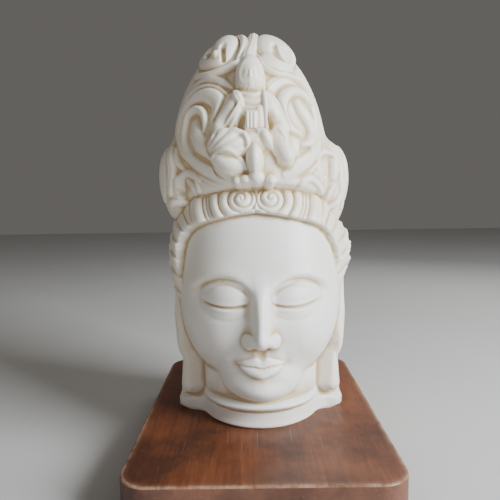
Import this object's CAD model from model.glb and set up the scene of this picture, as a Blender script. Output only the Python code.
"""Marble head of a bodhisattva on a stained wooden board, laid out as an add-on and run as a script.

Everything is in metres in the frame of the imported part: +Z up, the face looks along -Y. The shape of the
marble is worked out in millimetres above its flat underside and scaled at the end.
"""

import math

import bpy
import numpy as np
from mathutils import Matrix, Vector


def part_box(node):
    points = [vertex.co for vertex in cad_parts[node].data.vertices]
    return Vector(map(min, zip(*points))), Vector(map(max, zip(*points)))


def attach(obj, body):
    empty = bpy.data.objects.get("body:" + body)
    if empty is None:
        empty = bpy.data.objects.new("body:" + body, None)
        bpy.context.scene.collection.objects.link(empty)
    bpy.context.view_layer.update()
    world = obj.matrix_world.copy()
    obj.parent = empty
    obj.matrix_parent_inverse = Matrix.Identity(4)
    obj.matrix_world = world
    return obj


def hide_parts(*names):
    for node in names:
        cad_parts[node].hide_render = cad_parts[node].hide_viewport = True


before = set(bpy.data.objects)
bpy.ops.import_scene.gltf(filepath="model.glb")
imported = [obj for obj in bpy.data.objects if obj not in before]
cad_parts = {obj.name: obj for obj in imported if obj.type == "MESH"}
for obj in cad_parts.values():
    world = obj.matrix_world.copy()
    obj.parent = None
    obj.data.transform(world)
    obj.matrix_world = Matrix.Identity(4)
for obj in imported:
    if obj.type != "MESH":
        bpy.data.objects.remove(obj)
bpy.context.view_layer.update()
HEAD_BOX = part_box("marble_head")
BOARD_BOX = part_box("wooden_board")

bl_info = {
    "name": "Marble head on a board",
    "version": (1, 0, 0),
    "blender": (4, 5, 0),
    "location": "View3D > Sidebar > Marble head",
    "description": "Carved marble head, its stained board and a plain stage",
    "category": "Add Mesh",
}

MM = 0.001
TURN = 2.0 * math.pi

# ---- proportions shared with the solid, in millimetres above the marble's underside ----
CHIN_Z, HAIRLINE_Z = 19.0, 156.0
FACE_HEIGHT = HAIRLINE_Z - CHIN_Z
BROW_Z = HAIRLINE_Z - FACE_HEIGHT / 3
NOSE_Z = CHIN_Z + FACE_HEIGHT / 3
MOUTH_Z = NOSE_Z - FACE_HEIGHT / 9
EYE_Z = (CHIN_Z + HAIRLINE_Z + 20) / 2
EYE_X = 25.0

CROWN_CENTRE, CROWN_RADII = (0, 8, 190), (61.5, 57, 99.5)
CROWN_LEAN, CROWN_HEM = -6.5, 173.5
PUFF_CENTRE, PUFF_RADII, PUFF_SHIFT, PUFF_DROP = (56.0, 5, 180.5), (15.8, 29, 31), -3.2, 4.0
FIGURE_SHIFT = -4.5
FIGURE_SEAT, FIGURE_TOP, FIGURE_HEADS = 191.0, 263.5, 3.3
FIGURE_CHIN = FIGURE_TOP - (FIGURE_TOP - FIGURE_SEAT) / FIGURE_HEADS
RIM_ROUND = 2.5

HAIR_EDGE = [(60, 57), (90, 59), (112, 58.8), (126, 57.5), (134, 55), (140, 51.5), (144.5, 46.5),
             (148, 39), (151.5, 26), (154.5, 11), (156, 0)]
NOSE_RISE = [(-5, 0), (-3, 1.0), (-1, 6.8), (1.5, 10.6), (6, 12.6), (14, 10.8), (25, 7.6), (35, 4.8),
             (43, 2.2), (54, 0)]
NOSE_HALF = [(-4, 8.2), (5, 8.0), (12, 6.6), (22, 5.8), (34, 6.0), (48, 9.5)]
FALL_HALF = [(-5, 64.5), (20, 62.5), (45, 59.5), (80, 60), (120, 62)]
FALL_BACK = [(-5, 51), (20, 53), (60, 64), (105, 74), (135, 72)]
FALL_FRONT = -11.0

CURL_CENTRE, CURL_PITCH = (10.2, 164.8), 4.8
LOCK_RADII = (9.8, 17.0, 24.5, 27.2, 30.5, 44.0)
TEMPLE_TURN, LOCK_PITCH, STRAND_PITCH = (38.0, 136.0), 12.5, 3.1
BACK_PITCH = 9.0
FINE, SMOOTHING = 1.0, 0.5

# march onto the skin: every how many grid points the coarse one takes, and how far out it starts. The slope
# is taken over SLOPE_STEP to each side, and rows that jump by more than JUMP are smoothed.
COARSE, MARCH_START, SLOPE_STEP, JUMP = 4, 125.0, 0.35, (2.8, 5.0)

# flat rings inside the board's top edge, in metres from the end of its quarter round
TOP_RINGS = (0.0006, 0.0016, 0.004, 0.012)
FLOOR_HALF = 3.0

# bands: path, half widths, rises, crest (where the section peaks, -1 to 1 from its right side to its left),
# fine lines (places across the section)
CROWN_BANDS = [
    # left: two leaves, the broad C and the hook inside it
    (((-54, 66), (-42, 69), (-30, 66.5), (-19.5, 61), (-11.5, 55)), (1.2, 2.8, 3.6, 3.6, 0.8),
     (1, 2.6, 3.6, 3.8, 2.4), 0.3, (0.1,)),
    (((-63, 55), (-54, 60.5), (-44, 62.5), (-33.5, 61), (-23.5, 56), (-15.5, 50.5)),
     (1.4, 2.6, 2.9, 3.0, 2.9, 0.8),
     (1, 2.4, 3.0, 3.2, 3.2, 2.0), 0.3, (-0.1,)),
    (((-27.5, 21), (-24, 31), (-21.8, 40), (-23.5, 46.5), (-29, 51), (-37, 53.5), (-46, 52.5),
     (-54.5, 48), (-61, 39),
      (-63.5, 28), (-61, 17)), (1.4, 4.2, 5.6, 6.2, 6.2, 5.6, 5.2, 4.8, 4.2, 3.6, 2.6),
     (1.6, 3.2, 4.4, 5.2, 5.2, 4.6, 4.0, 3.4, 3.0, 2.8, 2.2), -0.55, ()),
    (((-49, 8), (-54.5, 17), (-55, 26), (-52, 34), (-49, 40), (-43.5, 43), (-37.5, 41.5), (-34, 37),
     (-33, 31), (-34.5, 24)),
     (2.0, 3.4, 3.6, 3.2, 3.2, 3.4, 3.4, 3.2, 2.6, 1.0),
     (1.5, 3.0, 3.4, 3.8, 4.4, 4.8, 4.8, 4.4, 3.6, 1.6), 0.4, ()),
    (((-43, 32), (-41.5, 24), (-38, 14), (-32, 6)), (3.6, 6.4, 6.4, 3.0), (1.6, 2.6, 2.4, 1.4), 0.0, ()),
    # border of the round field, left and right
    (((-67, 30), (-61.5, 17), (-52.5, 6.5), (-42.5, -1.5), (-33, -6.5), (-22, -11), (-12, -13)),
     (3.6, 5.0, 5.0, 5.0, 5.0, 5.0, 3.0), (1.4, 2.0, 2.2, 2.2, 2.2, 2.0, 1.2), 0.7, ()),
    (((62, 44), (58.5, 26), (52.5, 13.5), (43, 4.5), (32, -2), (20, -9)),
     (3.4, 5.0, 5.0, 5.0, 5.0, 3.0), (1.4, 2.0, 2.2, 2.2, 2.0, 1.2), -0.7, ()),
    # right: ring, tongue and the mound beside the figure's head
    (((37, 21.5), (29, 25.5), (24.7, 33), (23.9, 41), (26.5, 49.5), (33, 55.5), (41, 57.5), (49.2, 54.8),
     (54.5, 48),
      (57.5, 38), (56, 26)), (2.4, 3.8, 4.4, 4.6, 4.8, 4.6, 4.4, 4.2, 3.8, 3.4, 2.4),
     (2.4, 3.4, 4.0, 4.4, 4.6, 4.6, 4.4, 4.0, 3.6, 3.0, 2.2), -0.2, (-0.45,)),
    (((36.8, 46.5), (40.5, 40.5), (45.5, 35.5), (49.2, 29), (48.8, 22), (44.2, 16), (37, 13.2)),
     (3.2, 4.8, 5.4, 5.2, 4.6, 3.8, 1.8), (3.6, 4.2, 4.4, 4.0, 3.8, 3.4, 2.2), 0.5, ()),
    (((10, 46), (15, 54), (22, 61.5), (31, 65), (43, 62.5)), (2.4, 4.8, 5.2, 4.2, 1.8),
     (1.4, 2.6, 3.0, 2.8, 1.4), 0.0, (-0.35, 0.3)),
    # top right cloud's flame edge
    (((8, 85), (10.5, 75), (19, 68.5), (31, 69.5), (44, 70), (57, 63)), (0.8, 2.2, 2.6, 2.6, 2.6, 1.2),
     (4.6, 5.2, 5.0, 4.6, 4.2, 2.0), 0.0, ()),
    # top left cloud: crescent, tail and rim
    (((-13, 133), (-5, 121), (-2.6, 107), (-4, 93), (-9, 81)), (1.4, 3.6, 4.0, 3.4, 0.8),
     (2.6, 4.2, 4.6, 4.2, 2.2), -0.2, (0.25,)),
    (((-5, 83), (-12, 76.5), (-22, 72.5), (-34, 73), (-46, 80)), (1.6, 3.6, 4.2, 4.4, 3.4),
     (2.4, 4.0, 4.2, 4.0, 3.0), 0.0, (0.3,)),
    # middle band up to the peak
    (((7, 146), (5.6, 124), (4.0, 106), (1.5, 92), (-1.5, 76)), (6.0, 5.4, 5.0, 5.6, 6.5),
     (3.6, 4.0, 4.2, 4.4, 4.0), 0.0, (-0.35, 0.3)),
]
CROWN_BOSSES = [
    ((28, 112), (20.5, 36), -6, 6.2, 0.35), ((24, 82), (15.5, 14), 10, 5.2, 0.4),
    ((-30, 106), (19.5, 28), 12, 4.6, 0.35), ((-21, 109), (13, 25), 0, 6.6, 0.4), ((-26, 92.5),
     (4.4, 5.6), 0, 6.8, 0.5),
]
CROWN_CUTS = [
    (((21, 100), (21, 90), (25, 84.5), (32, 83)), (2.6, 3.4, 3.0, 1.2), (2.2, 4.4, 3.6, 1.6)),
    (((31, 98), (33, 90)), (5.0, 5.0), (1.2, 1.4)),
    (((-34.5, 104), (-33.5, 96)), (3.2, 3.2), (6.5, 6.5)),
    (((-19.5, 98), (-19.8, 84)), (2.8, 2.2), (4.4, 3.4)),
    (((51, 50), (47, 45)), (2.4, 2.2), (1.6, 2.0)),
    (((36.5, 9), (41, 9.5)), (3.0, 3.0), (1.2, 1.2)),
    (((-31, 15), (-27, 9)), (3.6, 3.0), (2.2, 2.0)),
]
LEFT_PUFF_BANDS = [
    (((46, 179), (52, 182.5), (59, 184.5), (63.5, 181), (64.5, 174), (65.5, 167)),
     (1.6, 3.0, 3.2, 2.6, 2.2, 1.4),
     (2.0, 2.8, 3.0, 3.0, 2.6, 2.0), 0.3, ()),
    (((58.5, 179), (54.5, 174), (56.5, 167)), (2.6, 3.4, 2.2), (2.4, 3.0, 2.2), -0.3, (0.1,)),
    (((49.5, 178), (48.5, 172), (51, 165)), (2.4, 2.8, 2.0), (2.2, 2.6, 2.0), 0.0, ()),
    (((69, 203), (66, 195), (61.5, 188), (54, 184.5)), (1.6, 1.8, 1.8, 1.2), (1.2, 1.8, 1.8, 1.2), 0.3, ()),
    (((74, 204), (70.5, 195), (68, 187), (69, 178), (70.5, 170)), (2.0, 3.0, 3.2, 3.0, 2.0),
     (1.6, 2.4, 2.6, 2.4, 1.8), 0.0, (0.0,)),
    (((80, 200), (77.5, 192), (76, 183), (77, 173), (80, 165)), (2.0, 3.2, 3.4, 3.2, 2.0),
     (1.6, 2.2, 2.4, 2.2, 1.6), 0.3, (-0.2,)),
    (((66, 163.5), (71, 162.5), (76, 158)), (2.6, 3.2, 2.0), (2.2, 2.6, 1.6), 0.0, ()),
]
RIGHT_PUFF_BANDS = [
    (((52, 193), (57, 197), (63.5, 199.5), (69, 197.5), (72, 191)), (1.2, 2.2, 2.6, 2.4, 1.2),
     (1.0, 2.0, 2.4, 2.2, 1.2), -0.5, ()),
    (((67.5, 192), (67, 186), (65.5, 180)), (2.8, 3.4, 2.4), (2.2, 2.6, 1.8), 0.3, ()),
    (((55.5, 193), (55, 186), (56.5, 179)), (3.2, 3.6, 3.0), (1.4, 1.8, 1.4), 0.0, ()),
    (((38.5, 167.5), (35.5, 172), (38, 177), (44.5, 179), (51, 176), (56, 171.5), (54, 167.5),
     (48.5, 166), (43.5, 168.5)),
     (1.4, 2.4, 2.8, 3.0, 3.0, 2.8, 2.6, 2.6, 1.6), (1.4, 2.4, 2.8, 3.0, 3.0, 2.8, 2.6, 2.8, 2.6),
     -0.2, ()),
    (((66, 175), (63.5, 169.5), (62, 163), (64, 158.5), (69, 161.5), (71, 167)),
     (0.8, 2.2, 2.6, 2.6, 2.6, 1.4),
     (1.4, 2.8, 3.0, 2.8, 2.6, 1.6), -0.3, ()),
    (((74, 190), (73.5, 178), (74, 168), (77, 158)), (2.4, 3.2, 2.8, 1.8), (1.4, 2.2, 2.2, 1.6),
     0.3, (0.0,)),
    (((60, 180), (60.5, 174)), (1.8, 1.2), (1.6, 1.0), 0.0, ()),
]
BACK_PUFF_BANDS = [
    (((90, 204), (85, 192), (86, 178), (92, 166)), (2.4, 4.0, 4.0, 2.6), (1.6, 2.6, 2.6, 1.6),
     0.3, (-0.3,)),
    (((118, 168), (106, 172), (97, 181), (98, 192), (107, 197), (115, 191), (112, 183), (106, 184)),
     (2.0, 3.2, 3.8, 4.0, 3.8, 3.4, 2.8, 1.4), (1.4, 2.4, 2.8, 3.0, 2.8, 2.6, 2.2, 1.4), -0.3, ()),
    (((104, 205), (116, 203), (125, 193), (127, 180), (124, 168)), (1.4, 2.6, 3.2, 3.0, 1.8),
     (1.2, 2.0, 2.4, 2.2, 1.4), -0.3, ()),
]
FIGURE_BANDS = [
    # left lapel and sleeve with their folds
    (((-15.5, 238), (-14.0, 233.5), (-11.5, 228.5)), (2.0, 3.6, 2.2), (1.8, 3.2, 1.8), 0.1, (0.2,)),
    (((-16, 234), (-19.5, 227), (-24.5, 219), (-29.5, 211.5)), (2.4, 4.0, 4.2, 2.8),
     (1.4, 2.2, 2.4, 1.8), 0.2, ()),
    (((-10.5, 232), (-14.5, 224), (-19.5, 217.5), (-27, 212.5)), (1.0, 2.0, 2.2, 1.2),
     (1.8, 3.2, 3.4, 2.0), -0.3, (0.3,)),
    (((-12.0, 225.5), (-15.5, 219), (-19, 213)), (0.8, 1.5, 1.2), (1.2, 2.6, 2.4), 0.3, ()),
    # right side of the robe, its edge, and the right sleeve
    (((1.2, 225), (1.4, 218), (1.2, 211)), (2.6, 3.0, 3.0), (1.4, 2.0, 2.2), 0.0, ()),
    (((3.4, 238), (4.3, 226), (4.6, 212)), (1.2, 1.6, 1.4), (2.2, 2.8, 3.2), 0.4, ()),
    (((5.0, 237), (9.5, 229.5), (14.0, 220.5), (18.5, 211)), (2.6, 4.8, 5.4, 4.2), (1.2, 2.2, 2.4, 1.8),
     0.25, (0.35,)),
    (((-12.5, 236.8), (-5, 234.6), (2.5, 236.8)), (1.0, 1.6, 1.0), (0.8, 1.2, 0.8), 0.0, ()),
    # finger of cloth and the ridge along the drop of the robe
    (((1.0, 211.5), (3.5, 208.5), (6.5, 202.5), (12.5, 194.5)), (1.8, 2.8, 2.4, 0.8),
     (2.2, 3.6, 3.2, 1.4), 0.2, ()),
    (((9.5, 212), (13.5, 213.8), (18.0, 211.5), (19.5, 205.5)), (1.6, 3.2, 3.2, 1.8),
     (1.6, 2.4, 2.2, 1.0), 0.0, (-0.5, 0.0, 0.5)),
    # rolled hem round the knee
    (((-32, 205), (-29, 210.0), (-19, 211.6), (-10, 208.5), (-7.2, 202), (-9.5, 197)),
     (0.8, 1.4, 1.6, 1.8, 1.6, 1.0),
     (0.6, 1.2, 1.6, 2.0, 1.6, 1.0), 0.0, ()),
    # petals' rims
    (((-33, 192), (-28, 197.2), (-19.5, 197.6), (-12.2, 192.2), (-8.0, 184.5)), (0.8, 1.4, 1.6, 1.6, 1.0),
     (0.6, 1.2, 1.6, 1.6, 1.0), -0.4, ()),
]


# ---------------------------------------------------------------- small curves

def ramp(low, high, value):
    """0 below low, 1 above high, 3t^2 - 2t^3 between; low may be the larger of the two"""
    t = np.clip((value - low) / (high - low), 0, 1)
    return t * t * (3 - 2 * t)


def bell(value, width):
    """exp of minus (value over width) squared"""
    return np.exp(-(value / width) ** 2)


def dome(level, power):
    """level above zero, raised to power; nothing below zero"""
    return np.maximum(level, 0) ** power


def curve(points, at):
    """cubic through (position, value) pairs whose slope is the harmonic mean of its neighbours' slopes"""
    xs, ys = np.array(points, float).T
    slope = np.diff(ys) / np.diff(xs)
    tangent = np.zeros(len(xs))
    before, after = slope[:-1], slope[1:]
    tangent[1:-1] = np.where(before * after > 0, 2 * before * after / (before + after + 1e-12), 0)
    v = np.clip(at, xs[0], xs[-1])
    i = np.clip(np.searchsorted(xs, v) - 1, 0, len(xs) - 2)
    span = xs[i + 1] - xs[i]
    t = (v - xs[i]) / span
    s = 1 - t
    return ((1 + 2 * t) * s * s * ys[i] + t * s * s * span * tangent[i]
            + t * t * (3 - 2 * t) * ys[i + 1] - t * t * s * span * tangent[i + 1])


# ---------------------------------------------------------------- distances to masses, negative inside

def join(a, b, radius):
    """the smaller of two distances, with their meeting filled by a quarter of a parabola"""
    h = np.maximum(radius - np.abs(a - b), 0) / radius
    return np.minimum(a, b) - h * h * radius / 4


def keep(a, b, radius):
    """the larger of two distances, with the edge eased the same way"""
    return -join(-a, -b, radius)


def egg(x, y, z, centre, radii, power=2.0):
    """egg with a radius along each axis: |p|(|p| - 1)/|p/r|; power over 2 squares its plan"""
    px, py, pz = (x - centre[0]) / radii[0], (y - centre[1]) / radii[1], (z - centre[2]) / radii[2]
    plan = px * px + py * py if power == 2.0 else (np.abs(px) ** power + np.abs(py) ** power) ** (2 / power)
    reach = np.sqrt(plan + pz * pz) + 1e-9
    steepness = np.sqrt((px / radii[0]) ** 2 + (py / radii[1]) ** 2 + (pz / radii[2]) ** 2) + 1e-9
    return reach * (reach - 1) / steepness


def tilted_egg(x, y, z, centre, radii, tilt):
    """egg turned by tilt in the front view"""
    s, c = math.sin(tilt), math.cos(tilt)
    dx, dz = x - centre[0], z - centre[2]
    return egg(dx * c + dz * s, y - centre[1], dz * c - dx * s, (0, 0, 0), radii)


def rod(x, y, z, start, end, r0, r1):
    """distance to the line from start to end, less a radius that runs from r0 to r1"""
    d = np.subtract(end, start).astype(float)
    px, py, pz = x - start[0], y - start[1], z - start[2]
    t = np.clip((px * d[0] + py * d[1] + pz * d[2]) / (d @ d), 0, 1)
    return np.sqrt((px - t * d[0]) ** 2 + (py - t * d[1]) ** 2 + (pz - t * d[2]) ** 2) - (r0 + (r1 - r0) * t)


def slab(x, y, z, centre, half, corner, rim):
    """box with rounded upright corners and rounded rims"""
    qx = np.abs(x - centre[0]) - (half[0] - corner)
    qy = np.abs(y - centre[1]) - (half[1] - corner)
    side = np.hypot(np.maximum(qx, 0), np.maximum(qy, 0)) + np.minimum(np.maximum(qx, qy), 0) - corner + rim
    top = np.abs(z - centre[2]) - half[2] + rim
    return np.minimum(np.maximum(side, top), 0) + np.hypot(np.maximum(side, 0), np.maximum(top, 0)) - rim


# ---------------------------------------------------------------- face

def eye_rise(a, z):
    """half an egg for the lidded eyeball, cut by the arc of the lid's edge, with a crease above it"""
    e = a - EYE_X
    ball = 5.6 * dome(1 - (e / 18) ** 2 - ((z - EYE_Z - 0.5) / 12) ** 2, 0.75)
    lower = 3.4 * dome(1 - (e / 18) ** 2 - ((z - EYE_Z + 6) / 9.5) ** 2, 1.3)
    slit = EYE_Z - 5.6 + 0.010 * e ** 2 + 0.05 * e
    along = ramp(17, 12, np.abs(e))
    s = z - slit
    lid = ramp(-0.25, 0.25, s)
    gap = along * 1.7 * (1 - lid) * ramp(-2.6, -1.4, s)
    rim = 0.45 * bell(s - 0.9, 0.8) * along
    under = 0.7 * bell(s + 3.2, 1.2) * ramp(15, 8, np.abs(e))
    crease = 0.6 * bell(z - EYE_Z - 8.6 + 0.028 * e ** 2, 0.9) * ramp(19, 12, np.abs(e))
    return lid * ball + (1 - lid) * np.maximum(lower, 0.72 * ball) - gap + rim + under - crease


def brow_rise(a, z):
    """socket sunk under a parabolic brow whose edge is crisp"""
    arch = np.where(a < EYE_X + 2, 0.022, 0.015) * (a - EYE_X - 2) ** 2
    brow = BROW_Z + 3 - arch
    socket = 4.4 * ramp(-0.6, 6.5, brow - z) * ramp(EYE_Z - 19, EYE_Z - 1, z)
    edge = 0.7 * bell(z - brow - 2.0, 4.5) * ramp(4, 12, a) * ramp(54, 34, a)
    return edge - socket * ramp(4, 12, a) * ramp(60, 36, a)


def nose_rise(a, z):
    """ridge whose height and half width are curves over its base, with a tip, two wings and two nostrils"""
    bridge = curve(NOSE_RISE, z - NOSE_Z) * np.exp(-(a / curve(NOSE_HALF, z - NOSE_Z)) ** 2.3)
    tip = 2.4 * dome(1 - (a / 8.5) ** 2 - ((z - NOSE_Z - 5) / 7.5) ** 2, 1.0)
    wing = dome(1 - ((a - 8.8) / 5.0) ** 2 - ((z - NOSE_Z - 3.4) / 6.0) ** 2, 0.65)
    nostril = dome(1 - ((a - 4.8) / 2.8) ** 2 - ((z - NOSE_Z + 1.4) / 1.8) ** 2, 1)
    return bridge + tip + 5.2 * wing * (1 - 0.75 * np.exp(-(a / 6.5) ** 4)) - 3.4 * nostril


def mouth_rise(a, z):
    """two rolled lips over a shallow swelling, parted by a bowed line, with a dimple at each corner"""
    line = MOUTH_Z + 0.0030 * a ** 2 - 0.6 * bell(a, 3.2) + 0.35 * bell(a - 6, 4)
    reach = np.clip(1 - (a / 17.5) ** 2, 0, 1)
    top = line + 0.01 + 6.0 * reach ** 0.7 * (1 + 0.16 * bell(a - 4.2, 2.6) - 0.12 * bell(a, 1.8))
    low = line - 0.01 - 7.4 * np.clip(1 - (a / 15) ** 2, 0, 1) ** 0.55
    tu, tl = np.clip((z - line) / (top - line), 0, 1), np.clip((line - z) / (line - low), 0, 1)
    upper = 3.2 * np.sqrt(reach) * np.sqrt(1 - tu) * np.minimum(1, tu * 7 + 0.25)
    lower = 3.6 * dome(1 - (a / 16) ** 2, 0.5) * dome(1 - ((tl - 0.38) / 0.62) ** 2, 0.5)
    lip = np.where(z >= line, upper, lower)
    swell = 3.8 * dome(1 - (a / 31) ** 2 - ((z - MOUTH_Z - 1) / 22) ** 2, 1.8)
    corner = 1.3 * np.exp(-((a - 18.5) / 3.8) ** 2 - ((z - MOUTH_Z - 1.2) / 4.2) ** 2)
    groove = ramp(MOUTH_Z + 5.5, MOUTH_Z + 8, z) * ramp(NOSE_Z - 1, NOSE_Z - 4, z)
    philtrum = (0.9 * bell(a, 2.3) - 0.4 * bell(a - 4.0, 1.6)) * groove
    return swell + lip - corner - philtrum - 1.2 * bell(z - line, 0.8) * ramp(18.5, 15, a)


def face_rise(x, z):
    """how far the face stands forward of the plain egg of the head"""
    a = np.abs(x)
    chin_crease = 1.8 * bell(z - MOUTH_Z + 12.5, 4.5) * ramp(22, 6, a)
    chin_ball = 3.6 * dome(1 - (a / 20) ** 2 - ((z - CHIN_Z - 10.5) / 13) ** 2, 1.4)
    cheek = 2.6 * np.exp(-((a - 33) / 15) ** 2 - ((z - NOSE_Z - 2) / 19) ** 2)
    fold = 0.35 * bell(a - 13.0 - 0.33 * (NOSE_Z + 4 - z), 3.0)
    fold = fold * ramp(MOUTH_Z - 2, MOUTH_Z + 8, z) * ramp(NOSE_Z + 9, NOSE_Z + 2, z)
    return (brow_rise(a, z) + eye_rise(a, z) + nose_rise(a, z) + mouth_rise(a, z)
            - chin_crease + chin_ball + cheek - fold)


# ---------------------------------------------------------------- masses of the head

def skull_mass(x, y, z):
    """skull, jaw and chin eggs joined, with the face pushed forward of them"""
    pushed = y + face_rise(x, z) * ramp(6, -20, y)
    skull = egg(x, pushed, z, (0, 8, 112), (62, 62, 73), 2.25)
    jaw = egg(x, pushed, z, (0, -4, 76), (57.5, 52, 54), 2.15)
    chin = egg(x, pushed, z, (0, -38, 35), (27, 20, 15))
    return join(join(skull, jaw, 20), chin, 14)


def hair_mass(x, y, z):
    """shell round the skull, cut open in front along the hairline"""
    shell = egg(x, y, z, (-1.2, 11, 122), (69, 66, 76), 2.2)
    side = np.abs(x + 2.4 * ramp(112, 140, z))
    inside = side - curve(HAIR_EDGE, z)
    inside = np.where(z > 120, inside * curve([(120, 1), (HAIRLINE_Z, 0.45)], z), inside)
    opening = np.where(z < HAIRLINE_Z, inside, np.maximum(side, z - HAIRLINE_Z))
    hair = keep(keep(shell, -keep(opening, y - 1, 3), 6), 84 + 0.55 * (y + 4) - z, 8)
    return join(hair, tilted_egg(x, y, z, (63.5, 2, 128), (7.5, 16, 17), 0.1), 5)


def neck_mass(x, y, z):
    """neck column with a fold under the chin, on a low base with rounded corners"""
    fold = egg(x, y, z, (0, -16, 18.5), (43, 38.5, 7.5))
    column = (np.hypot(x / 44, (y + 5) / 43) - 1) * 43 - 1.2 * ramp(7, 0, z)
    base = slab(x, y, z, (0, 20, 2), (65.5 - 0.03 * z, 31, 8), 10, 3)
    return join(join(fold, keep(column, z - 40, 4), 2), base, 16)


def fall_mass(x, y, z):
    """hair that falls behind the ears: a cubed oval whose width and depth follow two curves"""
    deep = (curve(FALL_BACK, z) - FALL_FRONT) / 2
    plan = (np.abs(x) / curve(FALL_HALF, z)) ** 3 + (np.abs(y - FALL_FRONT - deep) / deep) ** 3
    return keep((np.cbrt(plan) - 1) * 33, z - 135, 10)


def ear_mass(x, y, z):
    """long ear with a dished face, and the drop that hangs under its lobe"""
    a = np.abs(x)
    back = y - 0.1 * (z - 90)
    shell = egg(a, back, z, (60.5, 0, 96), (7.5, 12, 30))
    lobe = egg(a, back, z, (60.5, -3, 66), (5.6, 8.5, 23))
    dish = egg(a, back, z, (68.5, -1, 97), (5, 7, 20))
    ear = keep(join(shell, lobe, 6), -dish, 2)
    wall = slab(a, y, z, (51 - 0.06 * z, 10, 22), (13.5, 15, 34), 5, 4)
    drop = rod(a, (y + 6) * 0.8, z, (56.5, 0, 52), (54.0, -1.5, 22), 4.0, 8.5)
    return join(ear, join(wall, drop, 1), 2)


def crown_x(x, z):
    """sideways place on the crown, which leans a little to the left as it rises"""
    return x - CROWN_LEAN * ramp(165, 225, z)


def cap_egg(x, y, z):
    return egg(crown_x(x, z), y, z, CROWN_CENTRE, CROWN_RADII)


def puff_mass(x, y, z):
    """squared egg on each side, the right one a little lower"""
    px = (np.abs(x - PUFF_SHIFT) - PUFF_CENTRE[0]) / PUFF_RADII[0]
    py = (y - PUFF_CENTRE[1]) / PUFF_RADII[1]
    right = ramp(-20, 20, x)
    pz = (z + PUFF_DROP * right - PUFF_CENTRE[2]) / (PUFF_RADII[2] + 0.5 * PUFF_DROP * right)
    reach = ((px * px + py * py) ** 1.3 + np.abs(pz) ** 2.6) ** (1 / 2.6)
    return (reach - 1) * PUFF_RADII[0] * (1 + 0.8 * np.abs(pz / (reach + 1e-9)) ** 3)


def crown_mass(x, y, z):
    """tall egg cut off at its hem, with an egg-shaped puff on each side"""
    u = crown_x(x, z)
    return join(keep(cap_egg(x, y, z), CROWN_HEM - 0.0035 * u * u - z, 7), puff_mass(x, y, z), 6)


def figure_mass(x, y, z):
    """small seated figure in the middle of the crown: hooded head, body, sleeves, lap and hanging robe"""
    u = x - FIGURE_SHIFT
    d = egg(u, y, z, (-0.8, -40.0, 252), (8.8, 9.5, 11.5))
    d = join(d, keep(egg(u, y, z, (-0.4, -40.5, 244), (10.4, 10.4, 14)), 239 - z, 1.5), 4)
    body = keep(egg(u, y, z, (-1, -38.0, 221), (19.5, 14.0, 25)), z - 238.4 + 0.10 * np.abs(u + 1), 2)
    d = join(d, body, 1.2)
    d = join(d, rod(u, y, z, (-11.5, -40, 232), (-22.5, -42.5, 215.5), 4, 4.4), 5)
    d = join(d, rod(u, y, z, (10.5, -40, 232), (20.0, -42, 213), 4, 4.6), 6)
    lap = keep(egg(u, y, z, (-4, -42.0, 204.5), (22, 12.5, 12)), z - 211.4, 0.6)
    d = join(d, lap, 0.8)
    d = join(d, keep(egg(u, y, z, (-15.0, -43.0, 202.0), (15.8, 14.4, 11.8)), z - 211.7, 0.8), 1.5)
    return join(d, rod(u, y, z, (17.0, -43.0, 208.5), (23.2, -46.6, 194), 6.6, 6.6), 1.2)


def petal(x, y, z, centre, radii, tilt, sharp):
    """pointed petal: the overlap of two eggs set sharp apart, turned by tilt in the front view"""
    s, c = math.sin(tilt), math.cos(tilt)
    dx, dz = x - centre[0], z - centre[2]
    across, up = dx * c + dz * s, dz * c - dx * s
    wide = (radii[0] + sharp, radii[1], radii[2])
    left = egg(across, y - centre[1], up, (-sharp, 0, 0), wide)
    right = egg(across, y - centre[1], up, (sharp, 0, 0), wide)
    return keep(left, right, 0.6)


def lotus_mass(x, y, z):
    """lotus petals and the row of beads under the figure"""
    d = petal(x, y, z, (-2.8, -51.5, 192), (6.0, 7.5, 11.8), 0.02, 3.0)
    d = join(d, tilted_egg(x, y, z, (-20.5, -46.6, 190.0), (13.5, 8.8, 8.0), -0.42), 0.6)
    d = join(d, tilted_egg(x, y, z, (-20.5, -44.8, 184.2), (11.0, 7.6, 5.0), -0.36), 0.6)
    d = join(d, egg(x, y, z, (-1.8, -51, 179.6), (5.6, 5.5, 5.6)), 0.6)
    d = join(d, egg(x, y, z, (-9.0, -50, 177.8), (4.6, 4.8, 4.2)), 0.8)
    d = join(d, egg(x, y, z, (-14.6, -49, 176.8), (4.0, 4.4, 3.8)), 1.2)
    return join(d, egg(x, y, z, (8.2, -49.5, 177.0), (3.6, 4.2, 4.4)), 0.8)


def head_mass(x, y, z):
    """all masses joined, drawn in toward the underside by a quarter round"""
    d = join(skull_mass(x, y, z), neck_mass(x, y, z), 2)
    d = join(d, fall_mass(x, y, z), 3)
    d = join(d, ear_mass(x, y, z), 1.5)
    d = join(d, hair_mass(x, y, z), 3)
    d = join(d, crown_mass(x, y, z), 2)
    d = join(d, figure_mass(x, y, z), 1.2)
    d = join(d, lotus_mass(x, y, z), 1)
    return d + RIM_ROUND - np.sqrt(RIM_ROUND ** 2 - np.maximum(RIM_ROUND - z, 0) ** 2)


# ---------------------------------------------------------------- carving, as heights over the masses

def bend(path, steps=5):
    """smooth path through its points: a Catmull-Rom curve with steps pieces to each span"""
    p = np.array(path, float)
    p = np.vstack([2 * p[0] - p[1], p, 2 * p[-1] - p[-2]])
    t = (np.arange(steps) / steps)[:, None]
    spans = []
    for a, b, c, d in zip(p, p[1:], p[2:], p[3:]):
        second, third = 2 * a - 5 * b + 4 * c - d, 3 * b - a - 3 * c + d
        spans.append(0.5 * (2 * b + (c - a) * t + second * t ** 2 + third * t ** 3))
    return np.vstack(spans + [p[-2:-1]])


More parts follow.
